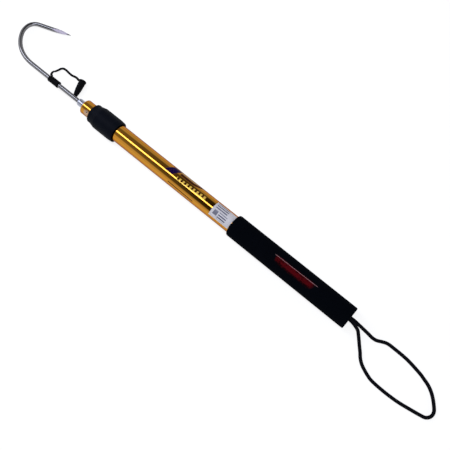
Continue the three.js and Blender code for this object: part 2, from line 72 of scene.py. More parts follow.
# The lanyard's centre line, in millimetres from the floor below the foot
LANYARD_ROUTE = [
    (-5.9, 1.7, 14.1), (0, 1.7, 14.1), (6, 2.0, 13.2), (12, 2.3, 10.6), (18, 2.9, 6.8),
    (24, 3.2, 3.8), (29.1, 3.1, 2.4), (35.1, 2.4, 2.3), (41.1, 3.1, 2.3), (47.6, 6.3, 2.3),
    (54, 8.7, 2.3), (63.1, 9.1, 2.3), (83.1, 8.5, 2.3), (103.2, 5.2, 2.3), (112.8, 2.5, 2.3),
    (121.3, -0.5, 2.3), (128.8, -5, 2.3), (135.2, -10.6, 2.3), (140.4, -16.4, 2.3), (143.5, -20.7, 2.3),
    (144.7, -25.3, 2.3), (143.6, -29.7, 2.3), (140.7, -33.0, 2.3), (136.7, -34.7, 2.3),
    (121.8, -37.5, 2.3), (103.4, -40.3, 2.3), (84.2, -41.2, 2.3), (66.6, -40.5, 2.3), (58.6, -38.5, 2.3),
    (51.3, -35.6, 2.3), (44.6, -32.1, 2.3), (39, -27.3, 2.3), (34.4, -21.7, 2.3), (29.4, -16.3, 2.4),
    (24.8, -11.3, 3.2), (20.1, -6.9, 5.8), (16.1, -3.9, 9.2), (11, -2.7, 12.9), (5.5, -2.1, 15.9),
    (0, -1.9, 17.1), (-5.9, -1.9, 17.1),
]
# The guard strap's centre line, in millimetres from the floor below the band's front end
STRAP_ROUTE = [
    (-0.2, 4.4, 16), (-1.3, 5.0, 15.9), (-2.9, 5.6, 15.6), (-4.2, 6.7, 14.2), (-6.4, 9.9, 11.8),
    (-8.0, 12.9, 8.8), (-8.3, 15.2, 6.2), (-8.5, 17.6, 4.4), (-8.6, 21.6, 2.2), (-8.1, 25.2, 1.3),
    (-5.6, 27.9, 1.1), (-1.4, 28.6, 1.1), (2.7, 28.3, 1.1), (7.1, 27.9, 1.1), (12.1, 27.9, 1.1),
    (16.6, 28.9, 1.4), (20.6, 28.8, 2.8), (23.2, 28.1, 4.7), (27.3, 27.0, 5.6),
]

# Steps of each stretch of a centre line, and of the hook's straight end before and along its flats
ROUTE_STEPS, PLAIN_STEPS, GROUND_STEPS = 24, 4, 48
# A smaller radius than this is a point on the axis, and points nearer to each other than this are one
ON_AXIS, SAME_PLACE = 1e-6, 1e-7

# Colours of print, wear, painted highlight, painted reflection and hidden metal
# The first two are painted highlight: a pale gold band beside the lamp's highlight, and a tan gleam
PAINTED_SHEEN_GOLD, PAINTED_GLEAM_TAN = (0.8, 0.54, 0.1, 1), (0.4, 0.3, 0.17, 1)
# The second here is a painted reflection, for the paler patch round the inner tube's pin
PRINT_BROWN, PAINTED_REFLECTION_GOLD = (0.045, 0.009, 0.003, 1), (0.5, 0.33, 0.22, 1)
GROUND_BRIGHT, DARK_TIP = (0.28, 0.25, 0.3, 1), (0.05, 0.05, 0.05, 1)
PIN_DARK_CENTRE, PIN_RIM = (0.03, 0.014, 0.01, 1), (0.5, 0.4, 0.33, 1)
DUST, PALE_LINE = (0.2, 0.2, 0.22, 1), (0.34, 0.2, 0.21, 1)
LABEL_GRIME, LABEL_INK = (0.34, 0.31, 0.28, 1), (0.035, 0.045, 0.1, 1)
PLUG_ALUMINIUM, FERRULE_ALUMINIUM = (0.4, 0.42, 0.5), (0.55, 0.57, 0.62)
BRASS, NYLON = (0.62, 0.45, 0.16), (0.66, 0.65, 0.6)

# Print on the main tube, with a painted highlight band behind the dashes and a painted gleam beside the
# stripe: runs in millimetres from the foot, turns in radians from straight up towards +Y
BLOCK_RUN, BLOCK_TURN, BLOCK_SLANT = (-304, -291.5), (-0.16, 0.9), 8.6
STRIPE_RUN, STRIPE_TURN = (-283, -246), (0.37, 0.68)
GLEAM_RUN, GLEAM_TURN = (-287, -258), (0.74, 1.1)
BOW_START, BOW_LENGTH, BOW_DEPTH = -264, 15, 0.45
SHEEN_RUN, SHEEN_TURN, SHEEN_TWIST = (-284, -237), (0.79, 1.14), 0.0039
DASH_PITCH, DASH_SHARE, DASH_TURN = 5.8, (0.2, 0.66), (0.88, 1.14)
LINE_RUN, LINE_TURN, LINE_TWIST = (-292, -249), (-1.71, -1.61), -0.0021

# Print on the grip, in the same measures: a bar with slanted ends, and a pale line along its edge
BAR_START, START_SLANT, BAR_SQUARE = -129, -25, -118
BAR_END, END_SLANT = -56, 6
BAR_LOWEST, BAR_HIGHEST = math.radians(-36), 0.12
EDGE_RUN, EDGE_TURN, EDGE_TWIST = (-118.5, -55), (0.0, 0.022), 0.00077

# Print on the label, in shares across and along it
BORDER, RULES, RULE_SHARE = (0.07, 0.085), 7.0, (0.3, 0.7)
UPPER_RULES = (0.1, 0.66), (0.53, 0.94)
LOWER_RULES = (0.37, 0.76), (0.1, 0.5)
LABEL_BOX = (0.12, 0.31), (0.22, 0.5)


def length_property(name, description, millimetres):
    return FloatProperty(name=name, description=description, default=millimetres * MM, unit="LENGTH")


class GaffSizes(bpy.types.PropertyGroup):
    """Sizes of the gaff's fine surfaces"""

    lathe_sides: IntProperty(
        name="Lathe Sides", description="Faces round each turned piece", default=112, min=24
    )
    edge_round: length_property("Edge Round", "Round on the turned pieces' corners", 0.3)
    tube_wall: length_property("Tube Wall", "Wall of both tubes", 1)
    lip_radius: length_property("Lip Radius", "Roll of the inner tube's front end", 2)
    wire_diameter: length_property("Wire", "Hook wire's diameter", 6)
    point_grind: length_property("Point Grind", "Length of the flats ground on the point", 29)
    cord_diameter: length_property("Cord", "Wrist lanyard's diameter", 4.6)
    strap_width: length_property("Strap Width", "Guard strap's width at the cap", 3.3)
    strap_thickness: length_property("Strap Thickness", "Guard strap's thickness", 1.5)
    cap_length: length_property("Cap", "Point cap's length", 27)


def colour_property(name, description, default):
    return FloatVectorProperty(
        name=name, description=description, default=default, size=3, subtype="COLOR", min=0, max=1
    )


class GaffColours(bpy.types.PropertyGroup):
    """Colours of the gaff's finishes"""

    gold: colour_property("Gold", "Anodised tubes", (0.57, 0.248, 0.015))
    stripe: colour_property("Tube Stripe", "Printed stripes on the main tube", (0.008, 0.003, 0.042))
    bar: colour_property("Grip Bar", "Printed bar on the grip", (0.08, 0.002, 0.004))
    steel: colour_property("Steel", "Hook wire", (0.22, 0.22, 0.232))
    foam: colour_property("Foam", "Grip", (0.0009, 0.0014, 0.0026))
    collar: colour_property("Collar", "Lock collar", (0.0024, 0.0034, 0.0068))
    rubber: colour_property("Rubber", "Guard and seals", (0.0018, 0.0018, 0.003))
    cord: colour_property("Cord", "Wrist lanyard", (0.0016, 0.0016, 0.003))
    label: colour_property("Label", "Label on the main tube", (0.62, 0.61, 0.64))
    floor: colour_property("Floor", "Studio floor", (0.9, 0.9, 0.9))


def sizes():
    return bpy.context.scene.gaff_sizes


def colours():
    return bpy.context.scene.gaff_colours


def operator_pair(operation):
    """A Python operator's plain and reflected methods, which add a Math node"""

    def plain(wire, other):
        return wire.maker.math(operation, wire, other)

    def reflected(wire, other):
        return wire.maker.math(operation, other, wire)

    return plain, reflected


class Wire:
    """One output of a node, on which sums add Math nodes to its tree"""

    __add__, __radd__ = operator_pair("ADD")
    __sub__, __rsub__ = operator_pair("SUBTRACT")
    __mul__, __rmul__ = operator_pair("MULTIPLY")
    __truediv__, __rtruediv__ = operator_pair("DIVIDE")

    def __init__(self, maker, socket):
        self.maker = maker
        self.socket = socket

    def __neg__(self):
        return self * -1.0


class Maker:
    """Adds nodes to a shader or geometry tree"""

    def __init__(self, tree):
        self.tree = tree

    def node(self, kind, settings=None, values=None, out=0):
        """A node of this kind, with its settings made first and its inputs then set or linked"""
        made = self.tree.nodes.new(kind)
        for name, value in (settings or {}).items():
            if name == "stops":
                self.set_stops(made.color_ramp, value)
            else:
                setattr(made, name, value)
        for key, value in (values or {}).items():
            if isinstance(value, Wire):
                self.tree.links.new(value.socket, made.inputs[key])
            else:
                made.inputs[key].default_value = value
        return Wire(self, made.outputs[out])

    @staticmethod
    def set_stops(ramp, stops):
        """Gives a ramp these stops, each a position and a colour"""
        while len(ramp.elements) > 1:
            ramp.elements.remove(ramp.elements[-1])
        ramp.elements[0].position, ramp.elements[0].color = stops[0]
        for position, colour in stops[1:]:
            ramp.elements.new(position).color = colour

    def math(self, operation, *values):
        return self.node("ShaderNodeMath", {"operation": operation}, dict(enumerate(values)))

    def vector(self, operation, *values, out=0, scale=None):
        """Vector Math, whose result is a number at the output Value for a length or a dot product"""
        inputs = dict(enumerate(values))
        if scale is not None:
            inputs["Scale"] = scale
        return self.node("ShaderNodeVectorMath", {"operation": operation}, inputs, out)

    def outputs(self, node):
        """All of a node's outputs by name"""
        return {socket.name: Wire(self, socket) for socket in node.outputs if socket.name}

    def parts(self, vector):
        """The X, Y and Z of a vector"""
        apart = self.node("ShaderNodeSeparateXYZ", None, {0: vector})
        return self.outputs(apart.socket.node).values()

    def clamp(self, value):
        """The value, but no less than 0 and no more than 1"""
        return self.node("ShaderNodeClamp", None, {"Value": value})

    def rise(self, value, start, rate):
        """0 up to this start, and from there up to 1 at this rate"""
        return self.clamp((value - start) * rate)

    def between(self, value, limits, soft):
        """1 where the value lies between two limits, with soft edges outside them"""
        low, high = limits
        return self.clamp((value - (low - soft)) / soft) * self.clamp(((high + soft) - value) / soft)

    def mix(self, share, first, second, blend="MIX"):
        """Two colours mixed, at the Mix node's colour sockets"""
        first_colour, second_colour, colour_out = 6, 7, 2
        settings = {"data_type": "RGBA", "blend_type": blend}
        values = {"Factor": share, first_colour: first, second_colour: second}
        return self.node("ShaderNodeMix", settings, values, colour_out)


class Finish(Maker):
    """A material of one Principled shader, with the patterns that the gaff's finishes share"""

    def __init__(self, name):
        self.material = bpy.data.materials.new(name)
        self.material.use_nodes = True
        super().__init__(self.material.node_tree)
        self.shader = self.tree.nodes["Principled BSDF"]
        self.place = self.node("ShaderNodeTexCoord", out="Object")

    def noise(self, scale, detail=2.0, roughness=0.5, stretch=(1, 1, 1), place=None):
        """Noise on the piece, from 0 to 1, with its scale per metre stretched along X, Y and Z"""
        vector = self.vector("MULTIPLY", place or self.place, stretch)
        values = {"Vector": vector, "Scale": scale, "Detail": detail, "Roughness": roughness}
        return self.node("ShaderNodeTexNoise", None, values)

    def uv(self):
        """The piece's own UV map"""
        return self.node("ShaderNodeTexCoord", out="UV")

    def bump(self, height, strength, distance, under=None):
        """A bumped normal, its distance in metres, on top of the one under it"""
        values = {"Height": height, "Strength": strength, "Distance": distance}
        if under:
            values["Normal"] = under
        return self.node("ShaderNodeBump", None, values)

    def round_axis(self):
        """The run from the foot in millimetres, and the turn round the tubes from straight up towards +Y"""
        x, y, z = self.parts(self.place)
        return (x - FOOT_X) / MM, self.math("ARCTAN2", y - AXIS.y, z - AXIS.z)

    def finish(self, **values):
        """Sets or links the shader's inputs, named as they are there with _ for a space"""
        for name, value in values.items():
            socket = self.shader.inputs[name.replace("_", " ")]
            if isinstance(value, Wire):
                self.tree.links.new(value.socket, socket)
            else:
                socket.default_value = value
        return self.material


def solid(colour):
    """A colour with full alpha"""
    return (*colour, 1.0)


def scaled(colour, factor):
    """A colour made darker or paler by a factor"""
    return (*(min(1.0, part * factor) for part in colour), 1.0)


class Gold(Finish):
    """Drawn tube, bright anodised: its own colour and roughness, before any print, print wear, painted
    highlight and painted reflection
    """

    def __init__(self, name):
        super().__init__(name)
        drawn = self.noise(9.0, 4.0, 0.6, (0.9, 110, 110))
        cloud = self.noise(26.0, 3.0, 0.5)
        gold = self.mix(cloud * 0.7, solid(colours().gold), scaled(colours().gold, 0.86))
        self.colour = self.mix(drawn * 0.35, gold, scaled(colours().gold, 1.08))
        scratches = self.rise(self.noise(70.0, 4.0, 0.75, (0.35, 9, 9)), 0.66, 8)
        self.rough = 0.075 + drawn * 0.05 + scratches * 0.1
        self.coat = 0.15 + cloud * 0.08
        self.run, self.turn = self.round_axis()

    def finish_gold(self, colour, metallic, rough, bare=1.0):
        """The finished material, with its coat only where it is bare of print and of the painted highlight
        """
        return self.finish(
            Base_Color=colour,
            Metallic=metallic,
            Roughness=self.clamp(rough),
            Coat_Weight=self.coat * bare,
            Coat_Roughness=0.05,
            Coat_IOR=1.9,
            Specular_Tint=(0.25, 0.15, 0.05, 1),
            Specular_IOR_Level=0.05,
        )


def printed_gold():
    """The main tube, with a plain slanted block, a curved stripe, a row of dashes on a band of painted
    highlight, a painted gleam beside the stripe and a thin line
    """
    made = Gold("printed_gold")
    run, turn = made.run, made.turn
    worn = 1 - made.rise(made.noise(900.0, 3.0, 0.7), 0.62, 9) * 0.5
    slanted = run - turn * BLOCK_SLANT
    block = made.between(slanted, BLOCK_RUN, 0.3) * made.between(turn, BLOCK_TURN, 0.012) * worn
    bow = made.math("MAXIMUM", (run - BOW_START) / BOW_LENGTH, 0.0)
    curved = turn - bow * bow * BOW_DEPTH
    stripe = made.between(curved, STRIPE_TURN, 0.03) * made.between(run, STRIPE_RUN, 2)
    painted_gleam = made.between(curved, GLEAM_TURN, 0.04) * made.between(run, GLEAM_RUN, 4)
    twisted = turn - run * SHEEN_TWIST
    painted_sheen = made.between(twisted, SHEEN_TURN, 0.02) * made.between(run, SHEEN_RUN, 1)
    beat = made.math("FRACT", run / DASH_PITCH)
    dashes = made.between(beat, DASH_SHARE, 0.05) * made.between(twisted, DASH_TURN, 0.02) * painted_sheen
    line = made.between(turn - run * LINE_TWIST, LINE_TURN, 0.02) * made.between(run, LINE_RUN, 0.5)
    brown = made.clamp(dashes + stripe + line) * worn
    # Painted highlight: a pale gold band beside the lamp's highlight behind the dashes, and a tan gleam
    # beside the stripe
    colour = made.mix(painted_sheen * 0.9, made.colour, PAINTED_SHEEN_GOLD)
    colour = made.mix(painted_gleam * 0.7, colour, PAINTED_GLEAM_TAN)
    colour = made.mix(block, colour, solid(colours().stripe))
    colour = made.mix(brown, colour, PRINT_BROWN)
    inked_and_painted = made.clamp(block + brown * 0.85 + painted_sheen * 0.85 + painted_gleam * 0.6)
    return made.finish_gold(colour, 1 - inked_and_painted, made.rough + inked_and_painted * 0.05, 1 - inked_and_painted)


def worn_gold():
    """The inner tube, with a paler painted reflection round the pin, with lengths in millimetres"""
    made = Gold("worn_gold")
    low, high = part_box("cross_pin")
    pin_run = ((low.x + high.x) / 2 - FOOT_X) / MM
    tube_radius, reach, fade, ragged = 10.6, 4.2, 1.2, 3
    narrower_above, wider_below = 1.3, -0.4
    along = (made.run - pin_run) * 0.8
    across = (made.turn + PIN_LEAN) * tube_radius
    across = made.math("MAXIMUM", across * narrower_above, across * wider_below)
    away = made.math("SQRT", along * along + across * across)
    away = away + (made.noise(260.0, 3.0, 0.6) - 0.5) * ragged
    # rubbed marks the painted reflection round the pin
    rubbed = made.clamp((reach - away) / fade)
    colour = made.mix(rubbed * 0.9, made.colour, PAINTED_REFLECTION_GOLD)
    return made.finish_gold(colour, 1 - rubbed * 0.05, made.rough + rubbed * 0.12)


def stainless():
    """Polished wire with fine marks along it, dulled a little in patches"""
    made = Finish("stainless")
    marks = made.noise(1.0, 4.0, 0.6, (240, 2.2, 1), made.uv())
    dull = made.rise(made.noise(30.0, 3.0, 0.55), 0.45, 3)
    steel = made.mix(dull * 0.3, solid(colours().steel), scaled(colours().steel, 0.72))
    return made.finish(
        Base_Color=made.mix(marks * 0.2, steel, scaled(colours().steel, 1.25)),
        Metallic=1.0,
        Roughness=made.clamp(0.07 + marks * 0.05 + dull * 0.04),
        Specular_Tint=(0.2, 0.2, 0.22, 1),
        Normal=made.bump(marks, 0.03, 0.02 * MM),
    )


def ground_steel(length):
    """The flats of the point, ground bright across the wire, and darker at its tip"""
    made = Finish("ground_steel")
    dark_end, fade = 8 * MM, 4 * MM
    _, run, _ = made.parts(made.uv())
    # darker towards the tip
    tip = made.clamp((run - (length - dark_end)) / fade)
    grind = made.noise(800.0, 3.0, 0.6, (3, 1, 0.5))
    flats = made.mix(grind * 0.4, GROUND_BRIGHT, solid(colours().steel))
    return made.finish(
        Base_Color=made.mix(tip, flats, DARK_TIP),
        Metallic=1.0,
        Roughness=made.clamp(0.38 + grind * 0.1),
        Specular_Tint=(0.3, 0.3, 0.33, 1),
        Normal=made.bump(grind, 0.12, 0.02 * MM),
    )


def turned_metal(name, colour, roughness):
    """Bare metal with the fine rings that a lathe leaves"""
    made = Finish(name)
    rings = made.noise(1.0, 3.0, 0.6, (5200, 30, 30))
    spots = made.noise(320.0, 4.0, 0.6)
    return made.finish(
        Base_Color=made.mix(spots * 0.5, solid(colour), scaled(colour, 0.78)),
        Metallic=1.0,
        Roughness=made.clamp(roughness + rings * 0.16 + spots * 0.06),
        Normal=made.bump(rings, 0.14, 0.03 * MM),
    )


def pin_steel(centre, way):
    """The pin's steel, with a dark dimple in the middle of its ends and a rim rubbed bright"""
    made = Finish("pin_steel")
    dimple, fade, ragged = 0.8 * MM, 0.2 * MM, 0.4 * MM
    offset = made.vector("SUBTRACT", made.place, tuple(centre))
    out = made.vector("LENGTH", made.vector("CROSS_PRODUCT", offset, tuple(way)), out="Value")
    ragged_noise = made.noise(900.0, 3.0, 0.6)
    rim = made.clamp((out + (ragged_noise - 0.5) * ragged - dimple) / fade)
    return made.finish(
        Base_Color=made.mix(rim, PIN_DARK_CENTRE, PIN_RIM),
        Metallic=0.4 + rim * 0.6,
        Roughness=made.clamp(0.42 + ragged_noise * 0.16 - rim * 0.12),
        Normal=made.bump(rim, 0.4, 0.1 * MM),
    )


def moulded(name, colour, roughness=0.5, grain=1500.0, depth=0.035, shine=0.12):
    """Moulded plastic or rubber with a fine grain, its depth in millimetres, paler where it is handled"""
    made = Finish(name)
    fine = made.noise(grain, 3.0, 0.6)
    rubbed = made.rise(made.noise(60.0, 3.0, 0.5), 0.5, 2.4)
    tone = made.mix(rubbed * 0.55, solid(colour), scaled(colour, 1.7))
    dust = made.rise(made.noise(420.0, 5.0, 0.75), 0.64, 7)
    return made.finish(
        Base_Color=made.mix(dust * 0.03, tone, DUST),
        Roughness=made.clamp(roughness + fine * 0.12 - rubbed * 0.08),
        Specular_IOR_Level=shine,
        Normal=made.bump(fine, 0.35, depth * MM),
    )


def grip_foam():
    """Closed-cell foam with small open pores, and a plain printed bar with a pale line along its edge"""
    made = Finish("grip_foam")
    pores = made.node("ShaderNodeTexVoronoi", None, {"Vector": made.place, "Scale": 1100.0}, "Distance")
    pore = made.rise(pores, 0.55, 3.2)
    fine = made.noise(2300.0, 3.0, 0.7)
    foam = made.mix(made.noise(38.0, 3.0, 0.5) * 0.7, solid(colours().foam), scaled(colours().foam, 1.9))
    # Painted shade in the pores: darker where the foam is open
    foam = made.mix(pore * 0.6, foam, scaled(colours().foam, 0.35))
    run, turn = made.round_axis()
    from_edge = turn - (run - EDGE_RUN[0]) * EDGE_TWIST
    start = made.clamp((run - turn * START_SLANT - BAR_START) / 6) * made.clamp((run - BAR_SQUARE) / 3)
    fading = made.rise(turn, BAR_LOWEST, 3.2) * made.clamp((BAR_HIGHEST - from_edge) / 0.09)
    bar = start * made.clamp((turn * END_SLANT + BAR_END - run) / 5) * fading
    streaks = made.noise(190.0, 4.0, 0.75, (0.35, 1, 1)) + made.noise(620.0, 3.0, 0.7, (0.5, 1, 1))
    patchy = made.rise(streaks * 0.5 + fading * 0.14, 0.53, 9)
    red = made.mix(patchy, scaled(colours().bar, 0.12), solid(colours().bar))
    printed = made.mix(bar * (1 - pore * 0.5), foam, red)
    line = made.between(from_edge, EDGE_TURN, 0.014) * made.between(run, EDGE_RUN, 2)
    printed = made.mix(line * (1 - pore * 0.4) * 0.9, printed, PALE_LINE)
    return made.finish(
        Base_Color=printed,
        Roughness=made.clamp(0.78 + fine * 0.18 - line * 0.2),
        Specular_IOR_Level=0.015,
        Normal=made.bump(fine, 0.35, 0.03 * MM, made.bump(1 - pore, 0.5, 0.06 * MM)),
    )


def braided_cord():
    """Braided sheath: strands that cross in both directions round the cord, on its own UV map"""
    made = Finish("braided_cord")
    strands, slant = 8, 2.1
    turn, run, _ = made.parts(made.uv())
    one = made.math("SINE", (turn * strands + run * slant) * math.tau)
    other = made.math("SINE", (turn * strands - run * slant) * math.tau)
    weave = made.math("MAXIMUM", one, other) * 0.5 + 0.5
    fuzz = made.noise(2600.0, 3.0, 0.7)
    # Painted shade between the strands and painted highlight on their crests
    tone = made.mix(weave, scaled(colours().cord, 0.45), scaled(colours().cord, 1.7))
    return made.finish(
        Base_Color=made.mix(fuzz * 0.25, tone, scaled(colours().cord, 3.2)),
        Roughness=made.clamp(0.62 + fuzz * 0.25),
        Specular_IOR_Level=0.05,
        Normal=made.bump(fuzz, 0.25, 0.03 * MM, made.bump(weave, 0.6, 0.16 * MM)),
    )


def label_paper():
    """Coated paper with a faint border, plain rules and a box, a little grey at its edges"""
    made = Finish("label_paper")
    across, along, _ = made.parts(made.uv())

    def patch(shares):
        return made.between(across, shares[0], 0.01) * made.between(along, shares[1], 0.01)

    nearer = [made.math("MINIMUM", share, 1 - share) for share in (across, along)]
    edge = made.math("MINIMUM", *nearer)
    fibre = made.noise(1300.0, 4.0, 0.65)
    smudge = made.noise(90.0, 4.0, 0.6)
    rules = made.between(made.math("FRACT", along * RULES), RULE_SHARE, 0.06)
    upper, lower = rules * patch(UPPER_RULES), rules * patch(LOWER_RULES)
    box = patch(LABEL_BOX) * (0.7 + fibre * 0.2)
    ink = made.clamp(upper * 0.9 + lower + box)
    paper = made.mix(smudge * 0.5, solid(colours().label), scaled(colours().label, 0.86))
    grimy = made.clamp((0.05 - edge) * 14) * smudge
    paper = made.mix(grimy * 0.6, paper, LABEL_GRIME)
    return made.finish(
        Base_Color=made.mix(made.clamp(made.between(edge, BORDER, 0.008) * 0.15 + ink), paper, LABEL_INK),
        Roughness=made.clamp(0.42 + fibre * 0.16),
        Normal=made.bump(fibre, 0.2, 0.02 * MM),
    )


def arc(centre_x, centre_r, radius_x, radius_r, start, stop, steps):
    """Points of an ellipse's arc as (station, radius) pairs; degrees are counted from the X axis"""
    points = []
    for step in range(steps + 1):
        angle = math.radians(start + (stop - start) * step / steps)
        points.append((centre_x + radius_x * math.cos(angle), centre_r + radius_r * math.sin(angle)))
    return points


def rounded(before, corner, after, reach, steps):
    """Points that ease a corner between its two sides, from this far before it to as far after it"""
    before, corner, after = Vector(before), Vector(corner), Vector(after)
    first = corner + (before - corner).normalized() * reach
    last = corner + (after - corner).normalized() * reach
    shares = [step / steps for step in range(steps + 1)]
    return [tuple(first.lerp(corner, share).lerp(corner.lerp(last, share), share)) for share in shares]


def eased(profile, radius):
    """A closed profile with each sharp corner rounded, as far as its sides allow"""
    bluntest, side_share, steps = math.radians(150), 0.42, 4
    points = [Vector(point) for point in profile]
    result = []
    for index, corner in enumerate(points):
        before, after = points[index - 1], points[(index + 1) % len(points)]
        if (before - corner).angle(after - corner, 0.0) > bluntest or corner.y < ON_AXIS:
            result.append(tuple(corner))
            continue
        reach = min(radius, side_share * (before - corner).length, side_share * (after - corner).length)
        result += rounded(before, corner, after, reach, steps)
    return result


def round_box(node):
    """The front end, rear end and radius of a node that is turned about the tubes' axis"""
    low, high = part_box(node)
    return low.x, high.x, (high.y - low.y) / 2


def linked(name, data):
    """A new object in the scene, at the origin"""
    made = bpy.data.objects.new(name, data)
    bpy.context.scene.collection.objects.link(made)
    return made


def shaded(name, mesh, smooth):
    """A mesh as a smooth object, with the edges sharper than this many degrees marked"""
    mesh.shade_smooth()
    mesh.set_sharp_from_angle(angle=math.radians(smooth))
    return linked(name, mesh)


def new_piece(name, bm, material, smooth=32.0):
    """A smooth object from a bmesh, with its faces out"""
    bmesh.ops.recalc_face_normals(bm, faces=bm.faces)
    mesh = bpy.data.meshes.new(name)
    bm.to_mesh(mesh)
    bm.free()
    mesh.materials.append(material)
    return shaded(name, mesh, smooth)


def turned(name, profile, material, sides=None, around=None, smooth=32.0):
    """A closed profile of (station, radius) turned about the tubes' axis, or about X and then moved"""
    sides = sides or sizes().lathe_sides
    bm = bmesh.new()
    rings = []
    for station, radius in profile:
        if radius < ON_AXIS:
            rings.append([bm.verts.new((station, 0, 0))])
            continue
        ring = []
        for side in range(sides):
            angle = math.tau * side / sides
            ring.append(bm.verts.new((station, radius * math.sin(angle), radius * math.cos(angle))))
        rings.append(ring)
    for index, ring in enumerate(rings):
        other = rings[(index + 1) % len(rings)]
        if len(ring) == 1 and len(other) == 1:
            continue
        for side in range(sides):
            after = (side + 1) % sides
            corners = [
                ring[side % len(ring)], ring[after % len(ring)],
                other[after % len(other)], other[side % len(other)],
            ]
            bm.faces.new(list(dict.fromkeys(corners)))
    bm.transform(around or Matrix.Translation(AXIS))
    return new_piece(name, bm, material, smooth)


def runs_along(points):
    """The length of a line from its start to each of its points"""
    steps = ((after - before).length for before, after in zip(points, points[1:]))
    return list(itertools.accumulate(steps, initial=0.0))


def smooth_route(route, start, spacing):
    """Evenly spaced points of a Catmull-Rom curve through a route in millimetres, and its length"""
    points = [start + Vector(point) * MM for point in route]
    ends = [2 * points[0] - points[1], *points, 2 * points[-1] - points[-2]]
    fine = []
    for index in range(len(points) - 1):
        a, b, c, d = ends[index : index + 4]
        second, third = 2 * a - 5 * b + 4 * c - d, 3 * b - a - 3 * c + d
        for step in range(ROUTE_STEPS):
            t = step / ROUTE_STEPS
            fine.append(0.5 * (2 * b + (c - a) * t + second * t**2 + third * t**3))
    fine.append(points[-1])
    runs = runs_along(fine)
    total = runs[-1]
    count = max(2, round(total / spacing))
    even = [fine[0]]
    for before, after, start_run, end_run in zip(fine, fine[1:], runs, runs[1:]):
        while len(even) < count and end_run >= total * len(even) / count:
            share = (total * len(even) / count - start_run) / (end_run - start_run)
            even.append(before.lerp(after, share))
    even.append(fine[-1])
    return even, total


def tube_along(name, path, radius, material, sides, closed=False):
    """A round tube on a path, with U round it and V along it in diameters, and its ends closed"""
    bm = bmesh.new()
    uv_layer = bm.loops.layers.uv.new("UVMap")
    count = len(path)
    turns = [side / sides for side in range(sides + 1)]
    runs = [run / (2 * radius) for run in runs_along([*path, path[0]])]
    normal = Vector((0, 0, 1))
    rings = []
    for index, point in enumerate(path):
        before = path[index - 1] if index or closed else path[0]
        after = path[(index + 1) % count] if closed or index + 1 < count else path[-1]
        forward = (after - before).normalized()
        normal = (normal - forward * normal.dot(forward)).normalized()
        side_way = forward.cross(normal)
        ways = [math.cos(math.tau * u) * normal + math.sin(math.tau * u) * side_way for u in turns[:-1]]
        rings.append([bm.verts.new(point + radius * way) for way in ways])
    for index in range(count if closed else count - 1):
        ring, other = rings[index], rings[(index + 1) % count]
        v, v_after = runs[index], runs[index + 1]
        for side in range(sides):
            after = (side + 1) % sides
            u, u_after = turns[side], turns[side + 1]
            face = bm.faces.new([ring[side], ring[after], other[after], other[side]])
            for loop, place in zip(face.loops, [(u, v), (u_after, v), (u_after, v_after), (u, v_after)]):
                loop[uv_layer].uv = place
    if not closed:
        bm.faces.new(rings[0])
        bm.faces.new(rings[-1])
    return new_piece(name, bm, material, smooth=60.0)


def line_object(name, points):
    """A mesh of one row of edges, for a geometry tree to sweep along"""
    mesh = bpy.data.meshes.new(name)
    mesh.from_pydata([tuple(point) for point in points], [(i, i + 1) for i in range(len(points) - 1)], [])
    return linked(name, mesh)


def geometry_tree(name, inputs):
    """A new geometry tree with a geometry in and out, and its named inputs"""
    tree = bpy.data.node_groups.new(name, "GeometryNodeTree")
    tree.interface.new_socket("Geometry", in_out="INPUT", socket_type="NodeSocketGeometry")
    for label, kind in inputs:
        tree.interface.new_socket(label, in_out="INPUT", socket_type=kind)
    tree.interface.new_socket("Geometry", in_out="OUTPUT", socket_type="NodeSocketGeometry")
    maker = Maker(tree)
    return maker, maker.outputs(tree.nodes.new("NodeGroupInput"))


def close_tree(maker, geometry, material):
    """Ends a geometry tree in real faces with their material"""
    real = maker.node("GeometryNodeRealizeInstances", None, {"Geometry": geometry})
    done = maker.node("GeometryNodeSetMaterial", None, {"Geometry": real, "Material": material})
    maker.tree.links.new(done.socket, maker.tree.nodes.new("NodeGroupOutput").inputs[0])
    return maker.tree


